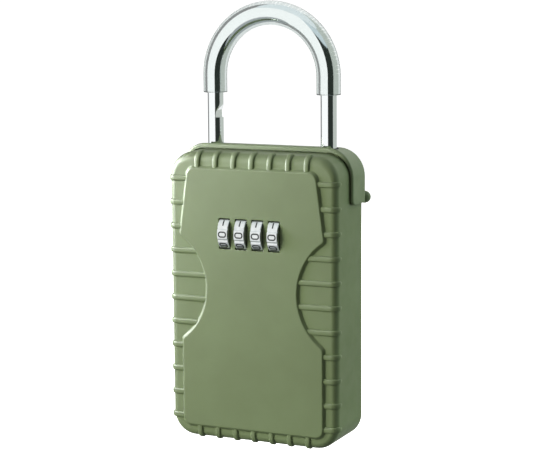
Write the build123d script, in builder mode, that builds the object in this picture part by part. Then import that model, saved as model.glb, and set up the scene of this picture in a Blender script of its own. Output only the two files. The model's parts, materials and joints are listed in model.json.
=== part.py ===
# A padlock key box: a die-cast case that hangs on a shackle, with a ribbed front door on a
# bottom hinge, four number dials that lock the door, and a tub for keys behind it.
# Millimetres, +Z up, the door faces -Y. The origin is the middle of the bounding box's base.
import os
from math import atan2, cos, degrees, pi, radians, sin

from build123d import *

# Shell: the ribbed front door, which also makes the visible sides and bottom of the box.
shell_width = 80.0
shell_height = 127.6
shell_depth = 28.4
shell_corner = 10.5
front_edge = 3.0
rear_edge = 0.6
wall = 2.0

# Raised panel on the front, with an arched waist cut from each side.
panel_rise = 1.3
panel_flank = 1.1
panel_top_gap = 6.9
panel_bottom_gap = 5.6
panel_top_half = 30.4
panel_shoulder_half = 34.3
panel_foot_half = 33.5
panel_shoulder_height = 91.5
panel_corner = 3.2
waist_half = 21.5
waist_height = 67.5
waist_radius = 28.4

# Ribs round the edge of the front.
rib_proud = 0.8
rib_sink = 0.5
rib_width = 3.4
rib_round = 0.75
side_rib_count = 11
side_rib_pitch = 10.68
side_rib_first = 11.6
side_rib_reach = 5.6
end_rib_count = 7
end_rib_pitch = 8.7
end_rib_width = 2.6
end_rib_reach = 4.6

# Hood: the moulded eave that wraps the top and the upper rear of the case.
hood_wall = 1.2
seam_gap = 0.5
hood_front_depth = 14.4
hood_drop = 21.9
hood_lip = 1.5
hood_corner = 2.5
hood_rear_round = 2.2
rim_rise = 1.0
rim_width = 1.9
roll_radius = 2.7
roll_sink = 0.8
roll_half = 40.1
roll_drop = 1.0
hood_groove = 1.2
groove_depth = 0.5

# Clearances.
fit = 0.1
running = 0.05
gap = 0.4

# Rear case.
back_plate = 2.0
side_play = 0.3
tub_wall = 1.5
tub_reach = 11.0
tub_half = 36.5
tub_bottom = 11.0
tub_top = 79.0
knuckle_radius = 3.0
pin_radius = 1.2
knuckle_inner = 12.4
knuckle_outer = 27.2
barrel_half = 33.0
sweep_room = 4.6

# Shackle: a hardened rod bent to a half circle, in a clear sleeve.
rod_radius = 3.6
leg_half = 27.35
leg_rear_gap = 7.05
arch_centre = 160.4
sleeve_radius = 5.35
sleeve_end = 152.5
notch_shelf = 141.4
notch_depth = 2.0
notch_flat = 2.6
notch_slope = 3.3
notch_pitch = 22.0
leg_tail = 7.0
leg_chamfer = 0.8
boss_wall = 2.2
grommet_wall = 0.7

# Bolt that holds the shackle, worked from inside the open box.
bolt_height = 3.6
bolt_width = 4.0
bolt_length = 21.0
bolt_travel = 2.2
bolt_play = 0.4
knob_from_tip = 17.0
knob_width = 3.0
knob_reach = 3.2
cover_sheet = 1.2
cover_half_height = 5.4
cover_end = 3.5
cover_length = 30.0

# Number dials.
dial_count = 4
dial_pitch = 7.9
dial_centre_x = -0.7
dial_height = 92.5
dial_radius = 8.5
dial_width = 5.1
dial_proud = 2.5
digits = 10
flute_radius = 0.55
window_width = 5.5
window_height = 13.6
window_lip = 0.7
window_relief = 1.1
cup_relief = 0.7

# Code hubs inside the dials, on a sliding axle.
hub_radius = 4.42
hub_bore = 4.5
axle_radius = 1.5
hub_start = -1.0
hub_core_end = 2.2
cup_reach = 1.2
cup_bore = 3.3
key_width = 1.0
key_radius = 5.15
key_start = 0.3
key_length = 1.0
keyway_radius = 5.3
hub_shift = 1.6
clip_radius = 2.0
clip_sheet = 0.5
end_clip_radius = 2.6
lever_x = 25.6
lever_sheet = 1.4
lever_half_height = 4.0
lever_reach = 9.5
spring_wire = 0.25
spring_coil = 2.2
spring_turns = 5

# Catch comb on the rear case, whose hooked feet sit in the cups of the hubs.
finger_sheet = 1.0
finger_height = 3.2
foot_inner = 2.3
foot_outer = 3.1
foot_width = 1.4
foot_play = 0.35
comb_sheet = 1.5
comb_half = 19.0
comb_height = 10.0
comb_screw_half = 12.5
foot_depth = 0.9

# Lock frame on the door.
cheek = 1.5
cheek_play = 1.0
frame_half_height = 11.4
frame_rail = 1.4
frame_front = 1.0
frame_back = 8.5
lug_seat = 5.0
lug_sheet = 1.2
lug_reach = 5.4
lug_height = 5.0
boss_radius = 2.2
detent_strip = 5.0
detent_sheet = 0.4
detent_nose = 0.6

# Screws.
screw_radius = 1.0
screw_head = 1.9
screw_head_height = 1.0
screw_length = 3.0
hood_screw_half = 16.0
hood_screw_drop = 9.0

# Places worked out from the sizes above.
base = rib_proud
crest = panel_rise + dial_proud
roll_centre_depth = shell_depth + hood_wall + roll_radius - roll_sink
front = (crest - roll_centre_depth - roll_radius) / 2
back = front + shell_depth
panel_face = front - panel_rise
panel_inside = panel_face + wall
top = base + shell_height
hood_front = back - hood_front_depth
hood_bottom = top - hood_drop
block_front = hood_front + hood_lip
block_bottom = hood_bottom + 2 * gap
leg_y = back - leg_rear_gap
hinge_y = back - knuckle_radius
hinge_z = base + knuckle_radius
dial_y = panel_face - dial_proud + dial_radius
dial_z = base + dial_height
dial_x = [dial_centre_x + (k - (dial_count - 1) / 2) * dial_pitch for k in range(dial_count)]
leave_angle = degrees(atan2(hinge_y - dial_y, dial_z - hinge_z))
lower_notch = base + notch_shelf - notch_pitch
leg_end = lower_notch - leg_tail
bolt_z = lower_notch + fit + bolt_height / 2
bolt_tip = -leg_half + rod_radius + bolt_play
cup_end = dial_width / 2 + cup_reach
finger_x = cup_end + 2 * fit
keyway_start = key_start + key_length - hub_shift + 2 * fit
cheek_left = dial_x[0] - dial_width / 2 - cheek_play
cheek_right = dial_x[-1] + finger_x + finger_sheet + gap
frame_screws = [
    (side_x, dial_z + up * (frame_half_height - lug_height / 2))
    for side_x in (cheek_left - cheek - lug_reach / 2, cheek_right + cheek + lug_reach / 2)
    for up in (-1, 1)
]
finger_end = (back - back_plate - dial_y) / cos(radians(leave_angle)) - finger_height / 2
comb_low = dial_z + (back - back_plate - dial_y) * sin(radians(leave_angle)) - finger_height
comb_screws = [(x, comb_low + comb_height - 2 * screw_head) for x in (-comb_screw_half, comb_screw_half)]
cover_screws = [
    (x, bolt_z - bolt_height / 2 - cover_half_height / 2)
    for x in (bolt_tip + cover_end + 2 * screw_head, bolt_tip + cover_end + cover_length - 2 * screw_head)
]
hood_screws = [(x, top - hood_screw_drop) for x in (-hood_screw_half, hood_screw_half)]

os.makedirs("parts", exist_ok=True)


def facing(y):
    """A sketch plane at depth y, seen from the front: local x is X and local y is Z."""
    return Plane.XZ.offset(-y)


def across(x):
    """A sketch plane at width x: local x is Y and local y is Z."""
    return Plane.YZ.offset(x)


def save(part, name):
    """Label a finished piece and write it to its own file."""
    part.label = name
    export_step(part, f"parts/{name}.step")


def box_sketch(low_x, high_x, low_z, high_z):
    """A rectangle given by its four sides."""
    with Locations(((low_x + high_x) / 2, (low_z + high_z) / 2)):
        Rectangle(high_x - low_x, high_z - low_z)


def shell_outline(grow):
    """The outline of the shell, grown by an offset."""
    with Locations((0, base + shell_height / 2)):
        RectangleRounded(shell_width + 2 * grow, shell_height + 2 * grow, shell_corner + grow)


def panel_outline():
    """Half of the hourglass outline of the raised panel, mirrored about the middle."""
    panel_top = top - panel_top_gap
    panel_bottom = base + panel_bottom_gap
    shoulder = (panel_shoulder_half, base + panel_shoulder_height)
    waist = (waist_half, base + waist_height)
    centre_x = waist_half + waist_radius
    hip_drop = (waist_radius**2 - (centre_x - panel_foot_half) ** 2) ** 0.5
    hip = (panel_foot_half, base + waist_height - hip_drop)
    with BuildLine() as edge:
        Line((0, panel_top), (panel_top_half - panel_corner, panel_top))
        Line((panel_top_half - panel_corner, panel_top), (panel_top_half, panel_top - panel_corner))
        Line((panel_top_half, panel_top - panel_corner), shoulder)
        ThreePointArc(shoulder, waist, hip)
        Line(hip, (panel_foot_half, panel_bottom + panel_corner))
        Line((panel_foot_half, panel_bottom + panel_corner), (panel_foot_half - panel_corner, panel_bottom))
        Line((panel_foot_half - panel_corner, panel_bottom), (0, panel_bottom))
        mirror(about=Plane.YZ)
    make_face(edge.edges())


def shell_solid(grow, depth):
    """The shell's outer form, grown by an offset and cut off at a depth behind the front."""
    with BuildPart() as form:
        with BuildSketch(facing(front - grow)):
            shell_outline(grow)
        extrude(amount=-(depth + grow))
        fillet(form.faces().sort_by(Axis.Y)[0].edges(), radius=front_edge + grow)
        fillet(form.faces().sort_by(Axis.Y)[-1].edges(), radius=rear_edge)
    return form.part


shell_form = shell_solid(0, shell_depth)
rib_form = shell_solid(rib_proud, shell_depth)
rib_core = shell_solid(-rib_sink, shell_depth)


def rib_band(low_x, high_x, low_z, high_z, reach):
    """A slice of the grown shell that wraps round the front edge, rounded along its sides."""
    across_x = high_x - low_x > high_z - low_z
    with BuildPart() as rib:
        add(rib_form)
        with BuildSketch(facing(front - 2 * rib_proud)):
            box_sketch(low_x, high_x, low_z, high_z)
        extrude(amount=-(reach + 2 * rib_proud), mode=Mode.INTERSECT)
        sides = rib.faces().sort_by(Axis.Z if across_x else Axis.X)
        rims = [edge for face in (sides[0], sides[-1]) for edge in face.edges().sort_by(Axis.Y)[:-1]]
        fillet(rims, radius=rib_round)
    return rib.part


def door_ribs():
    """The ribs down both sides of the front and the short ribs along its top and bottom."""
    bands = []
    for k in range(side_rib_count):
        rib_z = top - side_rib_first - k * side_rib_pitch
        for low_x, high_x in ((-shell_width, -waist_half), (waist_half, shell_width)):
            low_z = rib_z - rib_width / 2
            bands.append(rib_band(low_x, high_x, low_z, low_z + rib_width, side_rib_reach))
    for k in range(end_rib_count):
        rib_x = (k - (end_rib_count - 1) / 2) * end_rib_pitch
        low_x = rib_x - end_rib_width / 2
        for low_z, high_z in ((-wall, base + panel_bottom_gap), (top - panel_top_gap, top + wall)):
            bands.append(rib_band(low_x, low_x + end_rib_width, low_z, high_z, end_rib_reach))
    with BuildPart() as ribs:
        add(bands)
        add(rib_core, mode=Mode.SUBTRACT)
    return ribs.part


def barrel(low_x, high_x, radius):
    """A cylinder round the hinge axis."""
    with BuildPart() as drum:
        with BuildSketch(across(low_x)):
            with Locations((hinge_y, hinge_z)):
                Circle(radius)
        extrude(amount=high_x - low_x)
    return drum.part


def pan_screw(seat, toward):
    """A pan-head screw whose head sits at a point and whose shank runs towards a direction."""
    seat_plane = Plane(origin=seat, z_dir=toward)
    with BuildPart() as screw:
        with BuildSketch(seat_plane):
            Circle(screw_head)
        extrude(amount=-screw_head_height)
        with BuildSketch(seat_plane):
            Circle(screw_radius)
        extrude(amount=screw_length)
    return screw.part


# Door shell: the ribbed front with full-depth sides and bottom, and windows for the dials.
with BuildPart() as door_shell:
    add(shell_form)
    with BuildPart(mode=Mode.PRIVATE) as panel:
        with BuildSketch(facing(front + wall)):
            panel_outline()
            offset(amount=panel_flank)
        extrude(amount=wall + panel_rise)
        chamfer(panel.faces().sort_by(Axis.Y)[0].edges(), length=panel_flank)
    add(panel.part)
    # The hollow behind the front, deeper behind the raised panel and behind the hubs.
    with BuildSketch(facing(front + wall)):
        shell_outline(-wall)
    extrude(amount=-shell_depth, mode=Mode.SUBTRACT)
    with BuildSketch(facing(front + wall)):
        panel_outline()
        offset(amount=panel_flank - wall)
    extrude(amount=panel_rise, mode=Mode.SUBTRACT)
    with BuildSketch(facing(panel_inside)):
        box_sketch(
            dial_x[0] - dial_width / 2,
            dial_x[-1] + cup_end + gap,
            dial_z - hub_radius - gap,
            dial_z + hub_radius + gap,
        )
    extrude(amount=cup_relief, mode=Mode.SUBTRACT)
    # The top rear corner gives way to the head of the case, under the hood.
    with BuildSketch(facing(block_front - gap)):
        box_sketch(-shell_width, shell_width, block_bottom - gap, top + wall)
    extrude(amount=-shell_depth, mode=Mode.SUBTRACT)
    # Hinge barrels at the ends and the middle, with room between them for the case's knuckles.
    with BuildPart(mode=Mode.PRIVATE) as barrels:
        add(barrel(-barrel_half, -knuckle_outer - gap, knuckle_radius))
        add(barrel(-knuckle_inner + gap, knuckle_inner - gap, knuckle_radius))
        add(barrel(knuckle_outer + gap, barrel_half, knuckle_radius))
        add(shell_form, mode=Mode.INTERSECT)
    add(barrels.part)
    with BuildSketch(facing(hinge_y - knuckle_radius - gap)):
        for low_x, high_x in ((-knuckle_outer, -knuckle_inner), (knuckle_inner, knuckle_outer)):
            box_sketch(low_x - gap, high_x + gap, 0, hinge_z + knuckle_radius + gap)
    extrude(amount=-2 * knuckle_radius - 2 * gap, mode=Mode.SUBTRACT)
    add(barrel(-shell_width / 2, barrel_half, pin_radius + running), mode=Mode.SUBTRACT)
    # Windows for the dials, cut back on the inside.
    with BuildSketch(facing(panel_face)):
        with Locations(*[(x, dial_z) for x in dial_x]):
            Rectangle(window_width, window_height)
    extrude(amount=-wall, mode=Mode.SUBTRACT)
    with BuildSketch(facing(panel_face + window_lip)):
        with Locations(*[(x, dial_z) for x in dial_x]):
            Rectangle(window_width, window_height + 2 * window_relief)
    extrude(amount=-wall, mode=Mode.SUBTRACT)
    # Bosses that take the screws of the lock frame.
    with BuildSketch(facing(front + lug_seat)):
        with Locations(*frame_screws):
            Circle(boss_radius)
    extrude(amount=front + lug_seat - panel_inside)
    with BuildSketch(facing(front + lug_seat)):
        with Locations(*frame_screws):
            Circle(screw_radius + running)
    extrude(amount=screw_length - lug_sheet + gap, mode=Mode.SUBTRACT)
    add(door_ribs())
save(door_shell.part, "door_shell")

# Rear case: back plate, head block with the shackle bores, key tub and hinge knuckles.
bore_bottom = leg_end - notch_pitch - gap
with BuildPart() as rear_case:
    with BuildSketch(facing(back - back_plate)):
        shell_outline(-wall - side_play)
    extrude(amount=-back_plate)
    with BuildSketch(facing(back - back_plate)):
        box_sketch(-shell_width, shell_width, -wall, hinge_z + sweep_room)
    extrude(amount=-back_plate, mode=Mode.SUBTRACT)
    with BuildPart(mode=Mode.PRIVATE) as head_block:
        with BuildSketch(facing(block_front)):
            shell_outline(seam_gap - fit)
            with Locations((0, block_bottom - shell_height)):
                Rectangle(2 * shell_width, 2 * shell_height, mode=Mode.SUBTRACT)
        extrude(amount=-(back - block_front))
        rear_rim = head_block.faces().sort_by(Axis.Y)[-1].edges().sort_by(Axis.Z)[1:]
        fillet(rear_rim, radius=hood_rear_round - hood_wall)
    add(head_block.part)
    for side in (-1, 1):
        # Boss and blind bore for a shackle leg.
        with BuildSketch(Plane.XY.offset(bore_bottom - boss_wall)):
            with Locations((side * leg_half, leg_y)):
                Circle(rod_radius + running + boss_wall)
        extrude(amount=block_bottom - bore_bottom + 2 * boss_wall)
        with BuildSketch(Plane.XY.offset(bore_bottom)):
            with Locations((side * leg_half, leg_y)):
                Circle(rod_radius + running)
        extrude(amount=top + wall - bore_bottom, mode=Mode.SUBTRACT)
        # Knuckle of the door hinge on its arm.
        low_x = min(side * knuckle_inner, side * knuckle_outer)
        add(barrel(low_x, low_x + knuckle_outer - knuckle_inner, knuckle_radius))
        with BuildSketch(across(low_x)):
            box_sketch(hinge_y, back, hinge_z, hinge_z + sweep_room + wall)
        extrude(amount=knuckle_outer - knuckle_inner)
        # Side wall of the key tub.
        low_x = min(side * tub_half, side * (tub_half - tub_wall))
        with BuildSketch(facing(back - back_plate - tub_reach)):
            box_sketch(low_x, low_x + tub_wall, base + tub_bottom, base + tub_top)
        extrude(amount=-tub_reach - back_plate / 2)
    for low_z in (base + tub_bottom, base + tub_top - tub_wall):
        with BuildSketch(facing(back - back_plate - tub_reach)):
            box_sketch(-tub_half, tub_half, low_z, low_z + tub_wall)
        extrude(amount=-tub_reach - back_plate / 2)
    add(barrel(-barrel_half, barrel_half, pin_radius), mode=Mode.SUBTRACT)
    # Groove under the hood's edge, where the bare back begins.
    with BuildSketch(facing(back)):
        box_sketch(-shell_width, shell_width, hood_bottom - hood_groove, hood_bottom)
    extrude(amount=groove_depth, mode=Mode.SUBTRACT)
    # Channel for the shackle bolt, open to the bore of the notched leg and to the front.
    with BuildSketch(facing(block_front)):
        with Locations(((bolt_tip + bolt_length + gap - leg_half) / 2, bolt_z)):
            Rectangle(bolt_tip + bolt_length + gap + leg_half, bolt_height + 2 * fit)
    extrude(amount=-(leg_y - block_front + bolt_width / 2 + fit), mode=Mode.SUBTRACT)
    # Pilot holes of the three sets of screws.
    for x, z in comb_screws:
        with BuildSketch(facing(back - back_plate)):
            with Locations((x, z)):
                Circle(screw_radius + running)
        extrude(amount=comb_sheet - screw_length - fit, mode=Mode.SUBTRACT)
    for x, z in cover_screws:
        with BuildSketch(facing(block_front)):
            with Locations((x, z)):
                Circle(screw_radius + running)
        extrude(amount=-screw_length, mode=Mode.SUBTRACT)
    for x, z in hood_screws:
        with BuildSketch(facing(back)):
            with Locations((x, z)):
                Circle(screw_radius + running)
        extrude(amount=screw_length, mode=Mode.SUBTRACT)
save(rear_case.part, "rear_case")

# Hood: the eave over the top and the upper rear, ending in a roll across the back.
roll_y = back + hood_wall + roll_radius - roll_sink
roll_z = hood_bottom + roll_radius - roll_drop
with BuildPart() as hood:
    with BuildSketch(facing(hood_front)):
        shell_outline(seam_gap + hood_wall)
        with Locations((0, hood_bottom - shell_height)):
            Rectangle(2 * shell_width, 2 * shell_height, mode=Mode.SUBTRACT)
    extrude(amount=-(hood_front_depth + hood_wall))
    fillet(hood.faces().sort_by(Axis.Z)[0].edges().filter_by(Axis.X).sort_by(Axis.Y)[0], radius=hood_corner)
    rear_rim = hood.faces().sort_by(Axis.Y)[-1].edges().sort_by(Axis.Z)[1:]
    fillet(rear_rim, radius=hood_rear_round)
    # Raised rim along the front of the top, run out in the round corners.
    with BuildSketch(facing(hood_front)):
        with Locations((0, rim_rise)):
            shell_outline(seam_gap + hood_wall)
        with Locations((0, top - shell_corner - shell_height)):
            Rectangle(2 * shell_width, 2 * shell_height, mode=Mode.SUBTRACT)
    extrude(amount=-rim_width)
    with BuildPart(mode=Mode.PRIVATE) as hood_inside:
        with BuildSketch(facing(hood_front)):
            shell_outline(seam_gap)
        extrude(amount=-hood_front_depth)
        fillet(hood_inside.faces().sort_by(Axis.Y)[-1].edges(), radius=hood_rear_round - hood_wall)
    add(hood_inside.part, mode=Mode.SUBTRACT)
    with BuildSketch(across(-roll_half)):
        with Locations((roll_y, roll_z)):
            Circle(roll_radius)
    extrude(amount=2 * roll_half)
    with Locations((-roll_half, roll_y, roll_z), (roll_half, roll_y, roll_z)):
        Sphere(roll_radius)
    for side in (-1, 1):
        with BuildSketch(Plane.XY.offset(top)):
            with Locations((side * leg_half, leg_y)):
                Circle(rod_radius + fit + grommet_wall)
        extrude(amount=seam_gap + 2 * hood_wall, mode=Mode.SUBTRACT)
    for x, z in hood_screws:
        with BuildSketch(facing(back)):
            with Locations((x, z)):
                Circle(screw_radius + fit)
        extrude(amount=-2 * hood_wall, mode=Mode.SUBTRACT)
save(hood.part, "hood")
for k, (x, z) in enumerate(hood_screws):
    save(pan_screw((x, back + hood_wall, z), (0, -1, 0)), f"hood_screw_{k + 1}")

# Rubber bushes in the hood, flush with its top, round the legs of the shackle.
for side, name in ((-1, "left"), (1, "right")):
    with BuildPart() as grommet:
        with BuildSketch(Plane.XY.offset(top + seam_gap)):
            with Locations((side * leg_half, leg_y)):
                Circle(rod_radius + fit + grommet_wall)
                Circle(rod_radius + fit, mode=Mode.SUBTRACT)
        extrude(amount=hood_wall)
    save(grommet.part, f"leg_grommet_{name}")

# Hinge pin of the door.
save(barrel(-barrel_half, barrel_half, pin_radius), "hinge_pin")

# Shackle: a rod bent to a half circle, with two notches on the inside of its left leg.
with BuildPart() as shackle:
    with BuildLine():
        Line((-leg_half, leg_y, leg_end), (-leg_half, leg_y, base + arch_centre))
        ThreePointArc(
            (-leg_half, leg_y, base + arch_centre),
            (0, leg_y, base + arch_centre + leg_half),
            (leg_half, leg_y, base + arch_centre),
        )
        Line((leg_half, leg_y, base + arch_centre), (leg_half, leg_y, leg_end))
    with BuildSketch(Plane.XY.offset(leg_end)):
        with Locations((-leg_half, leg_y)):
            Circle(rod_radius)
    sweep()
    chamfer(shackle.faces().filter_by(Plane.XY).edges(), length=leg_chamfer)
    inner_side = -leg_half + rod_radius
    for shelf_z in (lower_notch, lower_notch + notch_pitch):
        with BuildSketch(facing(leg_y)):
            with BuildLine():
                Polyline(
                    (inner_side + notch_depth, shelf_z),
                    (inner_side - notch_depth, shelf_z),
                    (inner_side - notch_depth, shelf_z + notch_flat),
                    (inner_side, shelf_z + notch_flat + notch_slope),
                    (inner_side + notch_depth, shelf_z + notch_flat + 2 * notch_slope),
                    close=True,
                )
            make_face()
        extrude(amount=rod_radius, both=True, mode=Mode.SUBTRACT)
save(shackle.part, "shackle")

# Clear sleeve on the bow of the shackle.
with BuildPart() as shackle_sleeve:
    with BuildLine():
        Line((-leg_half, leg_y, base + sleeve_end), (-leg_half, leg_y, base + arch_centre))
        ThreePointArc(
            (-leg_half, leg_y, base + arch_centre),
            (0, leg_y, base + arch_centre + leg_half),
            (leg_half, leg_y, base + arch_centre),
        )
        Line((leg_half, leg_y, base + arch_centre), (leg_half, leg_y, base + sleeve_end))
    with BuildSketch(Plane.XY.offset(base + sleeve_end)):
        with Locations((-leg_half, leg_y)):
            Circle(sleeve_radius)
            Circle(rod_radius + running, mode=Mode.SUBTRACT)
    sweep()
save(shackle_sleeve.part, "shackle_sleeve")

# Shackle bolt: slides sideways into a notch, worked by a knob that stands out of its cover.
knob_x = bolt_tip + knob_from_tip
cover_low = bolt_tip + cover_end
with BuildPart() as shackle_bolt:
    with BuildSketch(facing(block_front + fit)):
        with BuildLine():
            Polyline(
                (bolt_tip + bolt_length, bolt_z + bolt_height / 2),
                (bolt_tip + notch_depth, bolt_z + bolt_height / 2),
                (bolt_tip, bolt_z),
                (bolt_tip, bolt_z - bolt_height / 2),
                (bolt_tip + bolt_length, bolt_z - bolt_height / 2),
                close=True,
            )
        make_face()
    extrude(amount=-(leg_y - block_front + bolt_width / 2 - fit))
    with BuildSketch(facing(block_front + fit)):
        with Locations((knob_x, bolt_z)):
            Rectangle(knob_width, bolt_height)
    extrude(amount=cover_sheet + gap + knob_reach)
    knob_front = shackle_bolt.faces().sort_by(Axis.Y)[0]
    chamfer(knob_front.edges(), length=knob_width / 6)
save(shackle_bolt.part, "shackle_bolt")

# Cover plate over the bolt's channel, with a slot for the knob.
with BuildPart() as bolt_cover:
    with BuildSketch(facing(block_front)):
        cover_z = bolt_z - cover_half_height + bolt_height / 2 + 2 * fit
        with Locations((cover_low + cover_length / 2, cover_z)):
            RectangleRounded(cover_length, 2 * cover_half_height, knob_width / 2)
        with Locations((knob_x - bolt_travel / 2, bolt_z)):
            Rectangle(knob_width + bolt_travel + 2 * gap, bolt_height + 2 * fit, mode=Mode.SUBTRACT)
        with Locations(*cover_screws):
            Circle(screw_radius + fit, mode=Mode.SUBTRACT)
    extrude(amount=cover_sheet)
save(bolt_cover.part, "bolt_cover")
for k, (x, z) in enumerate(cover_screws):
    save(pan_screw((x, block_front - cover_sheet, z), (0, 1, 0)), f"cover_screw_{k + 1}")


def along(reach, aside):
    """A point at a distance from the dial axis, in the direction in which the comb leaves."""
    c = cos(radians(leave_angle))
    s = sin(radians(leave_angle))
    return (dial_y + reach * c - aside * s, dial_z + reach * s + aside * c)


def leaving_bar(low, high, half):
    """A bar's side outline along the direction in which the comb leaves the dials."""
    with BuildLine() as edge:
        Polyline(along(low, -half), along(high, -half), along(high, half), along(low, half), close=True)
    make_face(edge.edges())


# Catch comb: a plate on the rear case with a finger for each dial; its feet hook into the hubs.
with BuildPart() as catch_comb:
    with BuildSketch(facing(back - back_plate)):
        box_sketch(-comb_half, comb_half, comb_low, comb_low + comb_height)
        with Locations(*comb_screws):
            Circle(screw_radius + fit, mode=Mode.SUBTRACT)
    extrude(amount=comb_sheet)
    for x in dial_x:
        with BuildSketch(across(x + finger_x)):
            leaving_bar(foot_inner, finger_end, finger_height / 2)
        extrude(amount=finger_sheet)
        with BuildSketch(across(x + cup_end - foot_depth)):
            leaving_bar(foot_inner, foot_outer, foot_width / 2)
        extrude(amount=foot_depth + finger_x - cup_end + finger_sheet / 2)
save(catch_comb.part, "catch_comb")
for k, (x, z) in enumerate(comb_screws):
    save(pan_screw((x, back - back_plate - comb_sheet, z), (0, 1, 0)), f"comb_screw_{k + 1}")

# Lock frame: a bracket with two cheeks that carry the dials on the back of the door.
with BuildPart() as lock_frame:
    with BuildSketch(facing(front + frame_front)):
        with Locations(((cheek_left + cheek_right) / 2, dial_z)):
            Rectangle(cheek_right - cheek_left + 2 * cheek, 2 * frame_half_height)
    extrude(amount=-(frame_back - frame_front))
    with BuildSketch(facing(front)):
        box_sketch(
            cheek_left,
            cheek_right,
            dial_z - frame_half_height + frame_rail,
            dial_z + frame_half_height - frame_rail,
        )
    extrude(amount=-frame_back, mode=Mode.SUBTRACT)
    for x, z in frame_screws:
        with BuildSketch(facing(front + lug_seat)):
            inner = cheek_right + cheek / 2 if x > 0 else cheek_left - cheek / 2
            outer = x + (lug_reach if x > 0 else -lug_reach) / 2
            box_sketch(min(inner, outer), max(inner, outer), z - lug_height / 2, z + lug_height / 2)
            with Locations((x, z)):
                Circle(screw_radius + fit, mode=Mode.SUBTRACT)
        extrude(amount=-lug_sheet)
    with BuildSketch(across(cheek_left - 2 * cheek)):
        with Locations((dial_y, dial_z)):
            Circle(axle_radius + running)
    extrude(amount=cheek_right - cheek_left + 4 * cheek, mode=Mode.SUBTRACT)
save(lock_frame.part, "lock_frame")
for k, (x, z) in enumerate(frame_screws):
    save(pan_screw((x, front + lug_seat + lug_sheet, z), (0, -1, 0)), f"frame_screw_{k + 1}")

# Detent spring: a strip under the dials with a nose for each dial.
with BuildPart() as detent_spring:
    with BuildSketch(Plane.XY.offset(dial_z - frame_half_height + frame_rail)):
        with Locations(((cheek_left + cheek_right) / 2, dial_y)):
            Rectangle(cheek_right - cheek_left, detent_strip)
    extrude(amount=detent_sheet)
    for x in dial_x:
        with BuildSketch(across(x - dial_width / 4)):
            with Locations((dial_y, dial_z - dial_radius - 2 * fit - detent_nose)):
                Circle(detent_nose)
        extrude(amount=dial_width / 2)
save(detent_spring.part, "detent_spring")

# Hub axle: slides endways in the cheeks and carries the hubs between clips.
with BuildPart() as hub_axle:
    with BuildSketch(across(cheek_left - cheek - fit)):
        with Locations((dial_y, dial_z)):
            Circle(axle_radius)
    extrude(amount=lever_x + lever_sheet - cheek_left + cheek + fit)
    with BuildSketch(across(cheek_left - cheek - fit)):
        with Locations((dial_y, dial_z)):
            Circle(end_clip_radius)
    extrude(amount=-clip_sheet)
save(hub_axle.part, "hub_axle")

# Reset lever: a tab on the end of the axle that pushes the hubs out of their keyways.
with BuildPart() as reset_lever:
    with BuildSketch(across(lever_x)):
        box_sketch(
            dial_y - lever_half_height / 2,
            dial_y + lever_reach,
            dial_z - lever_half_height,
            dial_z + lever_half_height,
        )
        with Locations((dial_y, dial_z)):
            Circle(axle_radius, mode=Mode.SUBTRACT)
    extrude(amount=lever_sheet)
    fillet(reset_lever.edges().filter_by(Axis.X), radius=lever_sheet / 2)
save(reset_lever.part, "reset_lever")

# Hub spring: a coil on the axle that pushes the hubs home.
with BuildPart() as hub_spring:
    coil_low = cheek_right + cheek + spring_wire + fit
    coil_high = lever_x - spring_wire - fit
    with BuildLine() as coil:
        Helix(
            pitch=(coil_high - coil_low) / spring_turns,
            height=coil_high - coil_low,
            radius=spring_coil,
            center=(coil_low, dial_y, dial_z),
            direction=(1, 0, 0),
        )
    with BuildSketch(Plane(origin=coil.line @ 0, z_dir=coil.line % 0)):
        Circle(spring_wire)
    sweep(path=coil.line, is_frenet=True)
save(hub_spring.part, "hub_spring")

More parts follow.
